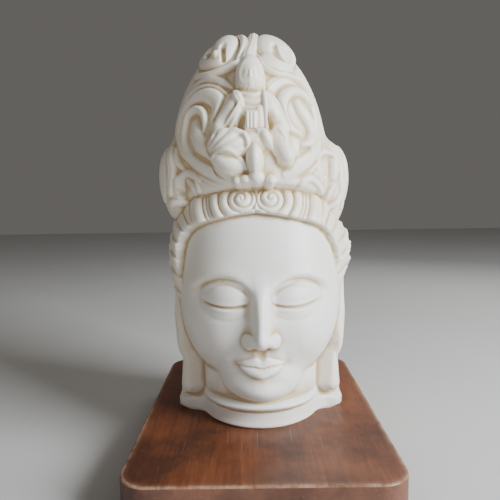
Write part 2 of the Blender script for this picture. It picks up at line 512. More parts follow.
def band_rise(u, w, path, half, rise, crest=0.0, lines=(), power=0.5):
    """rounded band along a path. Its height is rise times (1 - v^2)^power, v running from -1 at the right
    edge to 1 at the left and stretched so that the top lies at crest; half and rise run evenly along it."""
    points = bend(path)
    reach = max(half)
    low, high = points.min(0) - reach, points.max(0) + reach
    near = (u > low[0]) & (u < high[0]) & (w > low[1]) & (w < high[1])
    height = np.zeros_like(u)
    if not near.any():
        return height
    pu, pw = u[near], w[near]
    best, along, side = np.full(pu.shape, 1e9), np.zeros_like(pu), np.ones_like(pu)
    for i, (start, step) in enumerate(zip(points, np.diff(points, axis=0))):
        du, dw = pu - start[0], pw - start[1]
        t = np.clip((du * step[0] + dw * step[1]) / (step @ step), 0, 1)
        gap = np.hypot(du - t * step[0], dw - t * step[1])
        closer = gap < best
        best = np.where(closer, gap, best)
        along = np.where(closer, i + t, along)
        side = np.where(closer, np.sign(step[0] * dw - step[1] * du), side)
    place = np.linspace(0, len(points) - 1, len(half))
    width, top = np.interp(along, place, half), np.interp(along, place, rise)
    v = side * best / width
    bent = np.where(v > crest, (v - crest) / (1 - crest), (v - crest) / (1 + crest))
    h = top * dome(1 - bent ** 2, power)
    for line in lines:
        h -= FINE * 0.5 * bell((v - line) * width, 0.42) * (np.abs(v) < 1)
    height[near] = h
    return height


def boss_rise(u, w, centre, radii, tilt, rise, power=0.5):
    """oval boss turned by tilt degrees"""
    s, c = math.sin(math.radians(tilt)), math.cos(math.radians(tilt))
    du, dw = u - centre[0], w - centre[1]
    return rise * dome(1 - ((du * c + dw * s) / radii[0]) ** 2 - ((dw * c - du * s) / radii[1]) ** 2, power)


def highest(bands, u, w):
    """the highest of several bands at each point"""
    rise = np.zeros_like(u)
    for band in bands:
        rise = np.maximum(rise, band_rise(u, w, *band))
    return rise


def crown_rise(x, y, z):
    """bands laid on the crown's skin, unrolled from its middle by the angle away from straight ahead"""
    nx = crown_x(x, z) / CROWN_RADII[0]
    ny, nz = (y - CROWN_CENTRE[1]) / CROWN_RADII[1], (z - CROWN_CENTRE[2]) / CROWN_RADII[2]
    size = np.sqrt(nx ** 2 + ny ** 2 + nz ** 2) + 1e-9
    angle = np.arccos(np.clip(np.abs(ny / size), 0, 1))
    unroll = np.where(angle > 1e-6, angle / (np.sin(angle) + 1e-12), 1) / size
    u, w = CROWN_RADII[0] * unroll * nx, CROWN_RADII[2] * unroll * nz
    rise = highest(CROWN_BANDS, u, w)
    for boss in CROWN_BOSSES:
        rise = np.maximum(rise, boss_rise(u, w, *boss))
    for path, half, depth in CROWN_CUTS:
        rise -= band_rise(u, w, path, half, depth)
    collar = np.hypot(u + 3, w - 60) - 78
    rise -= 0.7 * (bell(collar, 0.9) + bell(collar - 4.5, 0.7)) * ramp(20, 0, w)
    return rise - 1.2 * ramp(10, 30, w)


def puff_rise(x, y, z):
    """bands on the side puffs, by distance round the head from the front"""
    turn = np.arctan2(x - PUFF_SHIFT, CROWN_CENTRE[1] - y)
    s = np.abs(turn) * CROWN_RADII[0]
    left = highest(LEFT_PUFF_BANDS, s, z) - boss_rise(s, z, (65.5, 171), (2.4, 3.6), 0, 2.4)
    right = highest(RIGHT_PUFF_BANDS, s, z) - boss_rise(s, z, (61.8, 187), (1.8, 6.5), 0, 2.2)
    right -= boss_rise(s, z, (46.5, 172.2), (3.4, 2.6), -25, 2.2)
    return np.maximum(np.where(turn < 0, left, right), highest(BACK_PUFF_BANDS, s, z))


def back_locks(x, y, z):
    """upright wavy locks, each with two fine lines, by distance round the head"""
    p = np.arctan2(x, 11 - y) * 66 / BACK_PITCH + 0.25 * np.sin((z - 60) / 16)
    p -= np.floor(p)
    lines = bell((p - 0.36) * BACK_PITCH, 0.5) + bell((p - 0.66) * BACK_PITCH, 0.5)
    return 2.0 * dome(1 - (2 * p - 1) ** 2, 0.45) - FINE * 0.4 * lines


def hair_rise(x, y, z):
    """rolled curls at the parting, broad locks in rings round them, overlapping combed locks down the temples
    and upright locks behind"""
    a = np.abs(x + 2.2 * ramp(135, 155, z))
    across = np.where(a < 68, 70 * np.arcsin(np.clip(a / 70, 0, 0.985)), a)
    du, dw = across - CURL_CENTRE[0], z - CURL_CENTRE[1]
    reach = np.hypot(du, 1.1 * dw)
    p = reach / CURL_PITCH + np.arctan2(dw, du) / TURN
    p -= np.floor(p)
    curl = 2.4 * dome(1 - (2 * p - 1) ** 2, 0.5) + 0.3 * (LOCK_RADII[0] - reach)
    top = np.where(reach < LOCK_RADII[0], curl, 0)
    for i, (low, high) in enumerate(zip(LOCK_RADII, LOCK_RADII[1:])):
        t = (reach - low) / (high - low)
        broad = high - low > 5
        v = np.where(t < 0.4, (t - 0.4) / 0.4, (t - 0.4) / 0.6)
        lock = (3.4 if broad else 1.8) * dome(1 - v ** 2, 0.45)
        if high - low > 9:
            lock -= FINE * 0.35 * (bell(reach - low - 8.2, 0.5) + bell(reach - low - 10.6, 0.5))
        top = np.where((t >= 0) & (t < 1), lock, top)
    du, dw = across - TEMPLE_TURN[0], z - TEMPLE_TURN[1]
    flow = np.where(dw > 0, 27 * np.arctan2(dw, du), dw) - 0.28 * du
    p = (flow + 1.5 * np.sin(flow / 17)) / LOCK_PITCH
    p -= np.floor(p)
    strand = flow / STRAND_PITCH
    strand -= np.floor(strand)
    comb = 2.4 * p ** 0.5 * ramp(1, 0.86, p) + 0.9 * dome(1 - (2 * strand - 1) ** 2, 0.5)
    back = ramp(-2, 12, y)
    comb = comb * (1 - back) + back_locks(x, y, z) * back
    side = np.maximum(ramp(LOCK_RADII[-1] - 1.0, LOCK_RADII[-1], reach), ramp(-12, 4, y))
    return top * (1 - side) + comb * side - 1.2


def fall_rise(x, y, z):
    """upright wavy locks down the back"""
    return (back_locks(x, y, z) - 1.0) * ramp(12, 22, y) * ramp(14, 22, z)


def figure_rise(x, y, z):
    """robe, sleeves, pleated hands and the fan of folds over the knee, seen from the front"""
    rise = highest(FIGURE_BANDS, x, z)
    hands = ramp(-9.2, -8.4, x) * ramp(-0.6, -1.4, x) * ramp(210.4, 211.4, z) * ramp(224.4, 222.5, z)
    rise = np.maximum(rise, hands * (2.8 + FINE * 0.4 * np.cos((x + 5) * TURN / 2.1)))
    left_gap = boss_rise(x, z, (-11.4, 216.6), (2.6, 5.6), -22, 3.8, 0.4)
    right_gap = boss_rise(x, z, (8.0, 217.4), (2.8, 6.0), 10, 4.0, 0.4)
    rise -= left_gap + right_gap
    rise -= 0.7 * bell(z - 228.0 - 0.03 * (x + 4) ** 2, 1.0) * ramp(8, 5, np.abs(x + 4.5))
    knee = ramp(1.1, 0.9, np.hypot((x + 19.5) / 13.5, (z - 202.0) / 10))
    fan = np.arctan2(z - 193, x + 38)
    rise += knee * FINE * 1.1 * (np.abs(np.sin(fan * 12)) - 0.5)
    return rise * ramp(-28, -34, y)


def small_face(x, y, z):
    """the seated figure's own small face: the large one's rise drawn to its scale, inside its hood's rim. Its
    chin is one head below the top, the seated height being FIGURE_HEADS heads."""
    share = 0.112
    across, up = x - FIGURE_SHIFT + 0.6, z - FIGURE_CHIN
    inside = ramp(1.15, 0.85, np.hypot(across / 6.4, (up - 7.2) / 8.2))
    rim = 0.5 * bell(np.hypot(across / 7.4, (up - 7.6) / 9.6) - 1, 0.14) * ramp(-1, 2, up)
    face = 0.75 * share * face_rise(across / share, CHIN_Z + up / share)
    return ((face - 0.3) * inside + rim) * ramp(-38, -43, y)


def carving(x, y, z):
    """each part's carving, faded out where another part takes over"""
    crown = np.abs(crown_mass(x, y, z))
    figure, lotus = figure_mass(x, y, z), lotus_mass(x, y, z)
    clear = ramp(0.2, 1.5, np.minimum(figure, lotus))
    cap_share = ramp(-4, 4, puff_mass(x, y, z) - cap_egg(x, y, z))
    on_crown = ramp(2, 0.6, crown) * clear
    hair, fall = np.abs(hair_mass(x, y, z)), np.abs(fall_mass(x, y, z))
    on_hair = ramp(1.8, 0.6, hair) * ramp(0.5, 2, crown) * clear
    on_fall = ramp(1.8, 0.6, fall) * ramp(0.6, 1.8, hair) * ramp(0.5, 2, crown)
    on_figure = ramp(1.6, 0.4, np.abs(np.minimum(figure, lotus)))
    laid = cap_share * crown_rise(x, y, z) - 0.9 * (1 - cap_share)
    rise = on_crown * np.maximum(laid, puff_rise(x, y, z) - 0.7)
    rise += on_fall * fall_rise(x, y, z)
    robe = ramp(240, 237.5, z) * figure_rise(x, y, z)
    face = ramp(237.5, 240, z) * small_face(x, y, z)
    rise += on_figure * (robe + face)
    return rise + on_hair * hair_rise(x, y, z) * ramp(4, 1, z - CROWN_HEM + 0.5 + 0.0035 * x * x)


# ---------------------------------------------------------------- skin of the head

def rays(up, around):
    """a ray for each grid point: level from the axis up to the hair, then swung upwards over the crown"""
    t, turn = up[:, None], around[None, :]
    swing = np.clip((t - 0.58) / 0.42, 0, 1)
    height = np.where(t < 0.58, 150 * t / 0.58, 150 + 60 * np.sin(swing * np.pi / 2))
    lift = np.pi / 2 * swing ** 1.25
    start = [CROWN_LEAN * ramp(0.55, 0.8, t), 18 - 10 * ramp(0.35, 0.8, t), height]
    along = [np.sin(turn) * np.cos(lift), -np.cos(turn) * np.cos(lift), np.sin(lift)]
    one = np.ones((len(up), len(around)))
    return [value * one for value in start], [value * one for value in along]


def march(start, along, reach, passes, relax):
    """steps inward along each ray by the distance still left; a ray rests once it stands on the skin"""
    flat_start, flat_along = [s.ravel() for s in start], [d.ravel() for d in along]
    flat, moving = reach.ravel().copy(), np.arange(reach.size)
    for _ in range(passes):
        gap = head_mass(*(s[moving] + flat[moving] * d[moving] for s, d in zip(flat_start, flat_along)))
        flat[moving] = np.maximum(flat[moving] - gap * relax, 2.0)
        moving = moving[np.abs(gap) > 0.01]
        if not len(moving):
            break
    return flat.reshape(reach.shape)


def crowd(count, low, high, weight):
    """count positions from low to high, spaced in inverse proportion to weight"""
    fine = np.linspace(low, high, 4001)
    w = weight(fine)
    total = np.concatenate([[0], np.cumsum((w[1:] + w[:-1]) / 2)])
    return np.interp(np.linspace(0, 1, count), total / total[-1], fine)


def spread(values, steps):
    """largest value within steps of each grid point, round the columns and along the rows"""
    wide = values.copy()
    for s in range(1, steps + 1):
        wide = np.maximum(wide, np.maximum(np.roll(values, s, 1), np.roll(values, -s, 1)))
    tall = wide.copy()
    for s in range(1, steps + 1):
        tall[s:] = np.maximum(tall[s:], wide[:-s])
        tall[:-s] = np.maximum(tall[:-s], wide[s:])
    return tall


def head_skin(rows, columns):
    """points on the skin: a coarse march sets where the fine one starts, then carving lifts each point along
    the mass's own slope. Returns the points, how deep each lies in a hollow, and 1 on hair, crown and
    ears."""
    around = crowd(columns + 1, -np.pi, np.pi, lambda a: 0.35 + np.exp(-(a / 1.35) ** 4))[:-1]
    up = crowd(rows + 1, 0, 1, lambda t: 1 + 1.6 * bell(t - 0.59, 0.035) + 0.4 * bell(t - 0.8, 0.15))[:-1]
    few_up, few_around = up[::COARSE], around[::COARSE]
    start, along = rays(few_up, few_around)
    few = march(start, along, np.full(start[0].shape, MARCH_START), 90, 0.85)
    closed = np.append(few_around, few_around[0] + TURN)
    wide = np.array([np.interp(around, closed, np.append(row, row[0])) for row in few])
    reach = np.array([np.interp(up, few_up, column) for column in wide.T]).T
    start, along = rays(up, around)
    reach = march(start, along, spread(reach, COARSE + 1) + 1.0, 70, 0.9)
    x, y, z = (s + reach * d for s, d in zip(start, along))
    e = SLOPE_STEP
    slope = np.stack([head_mass(x + e, y, z) - head_mass(x - e, y, z),
                      head_mass(x, y + e, z) - head_mass(x, y - e, z),
                      head_mass(x, y, z + e) - head_mass(x, y, z - e)], -1)
    slope /= np.linalg.norm(slope, axis=-1, keepdims=True) + 1e-9
    under = np.where(z > 100, ramp(-0.85, -0.35, slope[..., 2]), 1)
    points = np.stack([x, y, z], -1) + slope * (carving(x, y, z) * under)[..., None]
    jump = np.linalg.norm(points[2:] - points[:-2], axis=-1)
    loose = spread(ramp(*JUMP, np.concatenate([jump[:1], jump, jump[-1:]])), 2)[..., None]
    soft = blur(points, 1) * (1 - loose) + blur(points, 2) * loose
    eased = points.copy()
    eased[1:-1] += (np.maximum(SMOOTHING, loose) * (soft - points))[1:-1]
    eased[..., 2] = np.maximum(eased[..., 2], 0)
    eased[0, :, 2] = 0
    masses = (crown_mass, hair_mass, figure_mass, lotus_mass, fall_mass, ear_mass)
    near = np.min([np.abs(mass(x, y, z)) for mass in masses], axis=0)
    return eased, hollows(eased), ramp(2.5, 0.4, near)


def blur(points, steps):
    """mean over a window of grid neighbours, done twice"""
    for _ in range(2):
        total = sum(np.roll(points, s, 1) for s in range(-steps, steps + 1)) / (2 * steps + 1)
        padded = np.concatenate([np.repeat(total[:1], steps, 0), total, np.repeat(total[-1:], steps, 0)])
        points = sum(padded[s:s + len(points)] for s in range(2 * steps + 1)) / (2 * steps + 1)
    return points


def hollows(points):
    """millimetres from each point out to the mean of the skin round it, along the skin's normal"""
    across = np.roll(points, -1, 1) - np.roll(points, 1, 1)
    upward = np.gradient(points, axis=0)
    normal = np.cross(across, upward)
    normal /= np.linalg.norm(normal, axis=-1, keepdims=True) + 1e-9
    deep = sum(((blur(points, steps) - points) * normal).sum(-1) * gain
               for steps, gain in ((3, 1.6), (8, 0.7)))
    return np.clip(deep, -3, 3)


def grid_mesh(name, points, low_point, high_point):
    """closed mesh from a grid that runs round in its second direction, with a fan at each end"""
    rows, columns = points.shape[:2]
    index = np.arange(rows * columns).reshape(rows, columns)
    right = np.roll(index, -1, 1)
    quads = np.stack([index[:-1], right[:-1], right[1:], index[1:]], -1).reshape(-1, 4)
    low, high = rows * columns, rows * columns + 1
    fan_low = np.stack([right[0], index[0], np.full(columns, low)], -1)
    fan_high = np.stack([index[-1], right[-1], np.full(columns, high)], -1)
    verts = np.vstack([points.reshape(-1, 3), [low_point, high_point]]).astype(np.float32)
    loops = np.concatenate([quads.ravel(), fan_low.ravel(), fan_high.ravel()]).astype(np.int32)
    sizes = np.concatenate([np.full(len(quads), 4), np.full(2 * columns, 3)])
    mesh = bpy.data.meshes.new(name)
    mesh.vertices.add(len(verts))
    mesh.vertices.foreach_set("co", verts.ravel())
    mesh.loops.add(len(loops))
    mesh.loops.foreach_set("vertex_index", loops)
    mesh.polygons.add(len(sizes))
    mesh.polygons.foreach_set("loop_start", (np.cumsum(sizes) - sizes).astype(np.int32))
    mesh.polygons.foreach_set("use_smooth", np.ones(len(sizes), bool))
    mesh.update()
    mesh.validate()
    return mesh


def piece_from(name, mesh, material):
    """object at the origin that rides on the part's one body"""
    mesh.materials.append(material)
    piece = bpy.data.objects.new(name, mesh)
    bpy.context.collection.objects.link(piece)
    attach(piece, "root")
    return piece


# ---------------------------------------------------------------- board

def board_points(box, corner, ease, steps, rings):
    """rounded rectangle swept up the board's edge: each ring is the outline drawn in by the edge's quarter
    round. The outline runs four straight sides and four quarter circles at even distances."""
    (x0, y0, z0), (x1, y1, z1) = box
    half_x, half_y = (x1 - x0) / 2, (y1 - y0) / 2
    turn = np.linspace(0, np.pi / 2, steps)
    round_off = np.linspace(0, np.pi / 2, rings)
    levels = [(z0 + ease - ease * math.cos(a), ease - ease * math.sin(a)) for a in round_off]
    sides = np.linspace(z0 + ease, z1 - ease, 12)[1:-1]
    levels += [(z, 0.0) for z in sides]
    levels += [(z1 - ease + ease * math.sin(a), ease - ease * math.cos(a)) for a in round_off]
    levels += [(z1, ease + inset) for inset in TOP_RINGS]
    outline = []
    for sx, sy, begin in ((1, -1, -np.pi / 2), (1, 1, 0), (-1, 1, np.pi / 2), (-1, -1, np.pi)):
        arc = begin + turn
        outline.append(np.stack([sx * (half_x - corner) + corner * np.cos(arc),
                                 sy * (half_y - corner) + corner * np.sin(arc)], -1))
    outline = np.vstack(outline)
    begins = (-np.pi / 2, 0, np.pi / 2, np.pi)
    normal = np.vstack([np.stack([np.cos(b + turn), np.sin(b + turn)], -1) for b in begins])
    grid = [np.column_stack([outline - normal * inset, np.full(len(outline), z)]) for z, inset in levels]
    middle = np.array([(x0 + x1) / 2, (y0 + y1) / 2, 0])
    return np.array(grid) + middle


# ---------------------------------------------------------------- materials

class Nodes:
    """short way to add nodes to a tree and to join them"""

    def __init__(self, tree):
        self.tree = tree

    def add(self, kind, inputs=None, **settings):
        node = self.tree.nodes.new(kind)
        for key, value in settings.items():
            setattr(node, key, value)
        for key, value in (inputs or {}).items():
            if isinstance(value, bpy.types.NodeSocket):
                self.tree.links.new(value, node.inputs[key])
            else:
                node.inputs[key].default_value = value
        return node

    def ramp(self, factor, stops):
        node = self.add("ShaderNodeValToRGB", {"Fac": factor})
        elements = node.color_ramp.elements
        while len(elements) < len(stops):
            elements.new(0.5)
        for element, (position, colour) in zip(elements, stops):
            element.position = position
            element.color = (*colour, 1) if isinstance(colour, tuple) else (colour, colour, colour, 1)
        return node.outputs["Color"]

    def mix(self, factor, a, b, blend="MIX"):
        node = self.add("ShaderNodeMix", data_type="RGBA", blend_type=blend)
        for key, value in ((0, factor), (6, a), (7, b)):
            if isinstance(value, bpy.types.NodeSocket):
                self.tree.links.new(value, node.inputs[key])
            else:
                node.inputs[key].default_value = (*value, 1) if isinstance(value, tuple) else value
        return node.outputs[2]

    def maths(self, operation, a, b):
        return self.add("ShaderNodeMath", {0: a, 1: b}, operation=operation).outputs[0]

    def noise(self, place, scale, detail, roughness):
        inputs = {"Vector": place, "Scale": scale, "Detail": detail, "Roughness": roughness}
        return self.add("ShaderNodeTexNoise", inputs).outputs["Fac"]

    def attribute(self, name):
        return self.add("ShaderNodeAttribute", attribute_name=name).outputs["Fac"]

    def marks(self, place, cloud, mottle, speck, pits, scratches):
        """outputs of the shared group of surface marks, at the given scales"""
        inputs = {"Vector": place, "Cloud Scale": cloud, "Mottle Scale": mottle, "Speck Scale": speck,
                  "Pit Scale": pits, "Scratch Scale": scratches}
        return self.add("ShaderNodeGroup", inputs, node_tree=worn_surface()).outputs

    def feed(self, shader, socket, value):
        self.tree.links.new(value, shader.inputs[socket])

    def bump(self, shader, height, strength, distance):
        bump = self.add("ShaderNodeBump", {"Height": height, "Strength": strength, "Distance": distance})
        self.feed(shader, "Normal", bump.outputs["Normal"])


def new_material(name):
    material = bpy.data.materials.new(name)
    material.use_nodes = True
    material.node_tree.nodes.clear()
    nodes = Nodes(material.node_tree)
    shader = nodes.add("ShaderNodeBsdfPrincipled")
    nodes.add("ShaderNodeOutputMaterial", {"Surface": shader.outputs[0]})
    return material, nodes, shader


def worn_surface():
    """node group of the marks that every surface here shares: broad clouds, mottling, a fine speck, small
    pits and short thin scratches, each from 0 to 1"""
    if "worn_surface" in bpy.data.node_groups:
        return bpy.data.node_groups["worn_surface"]
    tree = bpy.data.node_groups.new("worn_surface", "ShaderNodeTree")
    tree.interface.new_socket(name="Vector", in_out="INPUT", socket_type="NodeSocketVector")
    for name in ("Cloud Scale", "Mottle Scale", "Speck Scale", "Pit Scale", "Scratch Scale"):
        tree.interface.new_socket(name=name, in_out="INPUT", socket_type="NodeSocketFloat")
    for name in ("Cloud", "Mottle", "Speck", "Pits", "Scratches"):
        tree.interface.new_socket(name=name, in_out="OUTPUT", socket_type="NodeSocketFloat")
    nodes = Nodes(tree)
    given = nodes.add("NodeGroupInput").outputs
    place = given["Vector"]
    cloud = nodes.noise(place, given["Cloud Scale"], 4.0, 0.6)
    mottle = nodes.noise(place, given["Mottle Scale"], 5.0, 0.68)
    speck = nodes.noise(place, given["Speck Scale"], 2.0, 0.6)
    cells = nodes.add("ShaderNodeTexVoronoi", {"Vector": place, "Scale": given["Pit Scale"]})
    pits = nodes.ramp(cells.outputs["Distance"], [(0.08, 1.0), (0.22, 0.0)])
    pits = nodes.maths("MULTIPLY", pits, nodes.ramp(mottle, [(0.5, 0.0), (0.62, 1.0)]))
    drawn = nodes.add("ShaderNodeMapping",
                      {"Vector": place, "Rotation": (0.0, 0.0, 0.55), "Scale": (1.0, 0.03, 1.0)})
    long_noise = nodes.noise(drawn.outputs["Vector"], given["Scratch Scale"], 2.0, 0.5)
    lines = nodes.ramp(long_noise, [(0.68, 0.0), (0.73, 1.0)])
    nodes.add("NodeGroupOutput", {"Cloud": cloud, "Mottle": mottle, "Speck": speck, "Pits": pits,
                                  "Scratches": lines})
    return tree


def marble_material(settings):
    """honed white marble: warm patina in hollows, cream on hair and crown, cool high places, sugary grain"""
    material, nodes, shader = new_material("honed_marble")
    place = nodes.add("ShaderNodeTexCoord").outputs["Object"]
    hollow = nodes.attribute("hollow")
    dressed = nodes.attribute("dressed")
    marks = nodes.marks(place, 14.0, 120.0, 1500.0, 520.0, 500.0)
    base = nodes.mix(nodes.ramp(marks["Cloud"], [(0.35, 0.0), (0.68, 1.0)]),
                     tuple(settings.stone_colour), tuple(settings.warm_colour))
    cream = nodes.maths("MULTIPLY", dressed, nodes.ramp(marks["Cloud"], [(0.3, 0.45), (0.65, 0.95)]))
    base = nodes.mix(cream, base, tuple(settings.cream_colour))
    depth = nodes.maths("ADD", hollow, nodes.maths("MULTIPLY", marks["Mottle"], 0.7))
    stain = nodes.ramp(nodes.maths("MULTIPLY", depth, 0.5), [(0.24, 0.0), (0.5, 0.5), (0.85, 1.0)])
    base = nodes.mix(nodes.maths("MULTIPLY", stain, settings.patina), base, tuple(settings.patina_colour))
    worn = nodes.ramp(nodes.maths("MULTIPLY", hollow, -1.0), [(0.1, 0.0), (0.9, 1.0)])
    base = nodes.mix(nodes.maths("MULTIPLY", worn, 0.4), base, (0.88, 0.87, 0.845))
    speck = nodes.ramp(marks["Speck"], [(0.3, 0.90), (0.5, 1.0), (0.75, 1.05)])
    base = nodes.mix(1.0, base, speck, "MULTIPLY")
    base = nodes.mix(nodes.maths("MULTIPLY", marks["Pits"], 0.45), base, tuple(settings.patina_colour))
    nodes.feed(shader, "Base Color", base)
    rough = nodes.ramp(nodes.maths("ADD", marks["Mottle"], nodes.maths("MULTIPLY", stain, 0.3)),
                       [(0.3, 0.36), (0.75, 0.52), (1.0, 0.62)])
    nodes.feed(shader, "Roughness", rough)
    height = nodes.maths("ADD", nodes.maths("MULTIPLY", marks["Mottle"], 0.7),
                         nodes.maths("MULTIPLY", marks["Speck"], 0.18))
    height = nodes.maths("SUBTRACT", height, nodes.maths("MULTIPLY", marks["Pits"], 0.35))
    nodes.bump(shader, height, 0.3, 0.0006)
    shader.inputs["Subsurface Weight"].default_value = 0.3
    shader.inputs["Subsurface Radius"].default_value = (1.0, 0.85, 0.65)
    shader.inputs["Subsurface Scale"].default_value = 0.003
    shader.inputs["IOR"].default_value = 1.5
    return material


def wood_material(settings):
    """stained wood: short grain along the board's depth, cloudy dark stain gathered at the front left,
    scratches, a greyer wall and a thin light line of wear round the top edge"""
    material, nodes, shader = new_material("stained_wood")
    place = nodes.add("ShaderNodeTexCoord").outputs["Object"]
    along = nodes.add("ShaderNodeMapping", {"Vector": place, "Scale": (1.0, 0.07, 1.0)}).outputs["Vector"]
    grain = nodes.noise(along, 420.0, 6.0, 0.65)
    pores = nodes.noise(along, 1300.0, 3.0, 0.6)
    bands = nodes.noise(along, 60.0, 3.0, 0.5)
    marks = nodes.marks(place, 17.0, 70.0, 900.0, 300.0, 700.0)
    base = nodes.mix(nodes.ramp(grain, [(0.3, 0.0), (0.7, 1.0)]),
                     tuple(settings.dark_colour), tuple(settings.light_colour))
    base = nodes.mix(nodes.ramp(bands, [(0.35, 0.5), (0.65, 0.0)]), base, tuple(settings.dark_colour))
    wall = nodes.attribute("wall")
    base = nodes.mix(nodes.maths("MULTIPLY", wall, 0.6), base, tuple(settings.wall_colour))
    corner = nodes.add("ShaderNodeVectorMath", {0: place, 1: (-0.07, -0.10, 0.03)}, operation="DISTANCE")
    gathered = nodes.ramp(nodes.maths("MULTIPLY", corner.outputs["Value"], 8.0), [(0.1, 0.16), (0.9, 0.0)])
    blotch = nodes.ramp(nodes.maths("ADD", marks["Cloud"], gathered), [(0.5, 0.0), (0.68, 0.75)])
    base = nodes.mix(blotch, base, tuple(settings.stain_colour))
    base = nodes.mix(nodes.ramp(pores, [(0.28, 0.6), (0.42, 0.0)]), base, tuple(settings.stain_colour))
    base = nodes.mix(nodes.maths("MULTIPLY", marks["Scratches"], 0.28), base, tuple(settings.worn_colour))
    worn = nodes.maths("MULTIPLY", nodes.attribute("edge"), nodes.ramp(grain, [(0.3, 0.4), (0.65, 1.0)]))
    worn = nodes.maths("MULTIPLY", worn, nodes.ramp(marks["Mottle"], [(0.38, 0.35), (0.55, 1.0)]))
    base = nodes.mix(worn, base, tuple(settings.worn_colour))
    nodes.feed(shader, "Base Color", base)
    dull = nodes.maths("ADD", marks["Cloud"], nodes.maths("MULTIPLY", wall, 0.2))
    nodes.feed(shader, "Roughness", nodes.ramp(dull, [(0.3, 0.34), (0.7, 0.5), (0.9, 0.6)]))
    height = nodes.maths("ADD", nodes.maths("MULTIPLY", grain, 0.5), pores)
    height = nodes.maths("SUBTRACT", height, nodes.maths("MULTIPLY", marks["Scratches"], 0.4))
    nodes.bump(shader, height, 0.3, 0.0003)
    return material


def floor_material(settings):
    """plain pale floor with faint clouds and a fine tooth"""
    material, nodes, shader = new_material("pale_floor")
    place = nodes.add("ShaderNodeTexCoord").outputs["Object"]
    marks = nodes.marks(place, 2.5, 30.0, 600.0, 200.0, 200.0)
    pale = tuple(settings.floor_colour)
    deeper = tuple(0.92 * value for value in pale)
    clouds = nodes.ramp(marks["Cloud"], [(0.3, 0.0), (0.7, 1.0)])
    nodes.feed(shader, "Base Color", nodes.mix(clouds, pale, deeper))
    nodes.feed(shader, "Roughness", nodes.ramp(marks["Mottle"], [(0.3, 0.68), (0.7, 0.8)]))
    nodes.bump(shader, marks["Speck"], 0.15, 0.0003)
    return material


# ---------------------------------------------------------------- settings

def colour(name, description, default):
    return bpy.props.FloatVectorProperty(name=name, description=description, subtype="COLOR", size=3,
                                         min=0, max=1, default=default)


class MarbleHeadSettings(bpy.types.PropertyGroup):
    rows: bpy.props.IntProperty(name="Rows", description="Grid rows from the underside to the top",
                                default=600, min=80, max=900)
    columns: bpy.props.IntProperty(name="Columns", description="Grid columns round the head",
                                   default=740, min=80, max=1100)
    faces: bpy.props.IntProperty(name="Triangles", description="Triangles left after thinning the grid",
                                 default=190000, min=10000, max=199000)
    stone_colour: colour("Stone", "Cool white of the honed stone", (0.85, 0.835, 0.805))
    warm_colour: colour("Warm stone", "Warmer white of its cloudy patches", (0.84, 0.79, 0.71))
    cream_colour: colour("Cream", "Cream tint on the hair, crown and ears", (0.84, 0.745, 0.59))
    patina_colour: colour("Patina", "Ochre that has settled in the hollows", (0.55, 0.40, 0.21))
    patina: bpy.props.FloatProperty(
        name="Patina strength", description="How strongly the hollows are stained",
        default=0.9, min=0, max=1)


class BoardSettings(bpy.types.PropertyGroup):
    corner: bpy.props.FloatProperty(name="Corner radius", description="Radius of the board's upright corners",
                                    subtype="DISTANCE", unit="LENGTH", default=0.019, min=0.002, max=0.08)
    ease: bpy.props.FloatProperty(name="Edge round", description="Radius of its eased edges",
                                  subtype="DISTANCE", unit="LENGTH", default=0.0012, min=0.0003, max=0.01)
    light_colour: colour("Light grain", "Lighter streaks of the grain", (0.235, 0.070, 0.022))
    dark_colour: colour("Dark grain", "Darker streaks of the grain", (0.115, 0.031, 0.011))
    wall_colour: colour("Wall", "Greyer brown of the board's upright sides", (0.165, 0.080, 0.055))
    stain_colour: colour("Stain", "Cloudy dark stain and pores", (0.038, 0.013, 0.008))
    worn_colour: colour("Worn edge", "Bare wood along the worn top edge", (0.42, 0.25, 0.16))


class StageSettings(bpy.types.PropertyGroup):
    floor_colour: colour("Floor", "Plain pale floor", (0.62, 0.61, 0.59))
    key_power: bpy.props.FloatProperty(
        name="Key light", description="Power of the soft light at the front right",
        subtype="POWER", unit="POWER", default=36.0, min=0)
    fill_power: bpy.props.FloatProperty(
        name="Fill light", description="Power of the soft light at the left",
        subtype="POWER", unit="POWER", default=2.0, min=0)
    camera_height: bpy.props.FloatProperty(
        name="Camera height", description="Height of the camera over the board",
        subtype="DISTANCE", unit="LENGTH", default=0.1624, min=0)
    camera_distance: bpy.props.FloatProperty(
        name="Camera distance", description="From the lens to the board's middle",
        subtype="DISTANCE", unit="LENGTH", default=0.3865, min=0.1)


# ---------------------------------------------------------------- operators

class MARBLE_OT_carve_head(bpy.types.Operator):
    """Carve the marble head and lay its stone finish on it"""
    bl_idname = "marble.carve_head"
    bl_label = "Carve the marble head"

    def execute(self, context):
        settings = context.scene.marble_head
        share = 1.0
        points, deep, dressed = head_skin(int(settings.rows * share), int(settings.columns * share))
        floor = HEAD_BOX[0][2]
        lift = np.array([0, 0, floor])
        top = points[-1].mean(0)
        mesh = grid_mesh("carved_marble", points * MM + lift, np.array([0, 0.018, floor]), top * MM + lift)
        for name, values in (("hollow", deep), ("dressed", dressed)):
            layer = mesh.attributes.new(name, "FLOAT", "POINT")
            layer.data.foreach_set("value", np.append(values.ravel(), [0, 0]).astype(np.float32))
        raw = bpy.data.objects.new("raw_marble", mesh)
        context.collection.objects.link(raw)
        thin = raw.modifiers.new("thin", "DECIMATE")
        total = len(mesh.loops) - 2 * len(mesh.polygons)
        thin.ratio = min(1.0, settings.faces / total)
        done = bpy.data.meshes.new_from_object(raw.evaluated_get(context.evaluated_depsgraph_get()))
        bpy.data.objects.remove(raw)
        if not {"hollow", "dressed"} <= set(done.attributes.keys()):
            raise RuntimeError("the surface's values were lost in thinning the marble")
        piece = piece_from("carved_marble", done, marble_material(settings))
        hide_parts("marble_head")
        return {"FINISHED"}


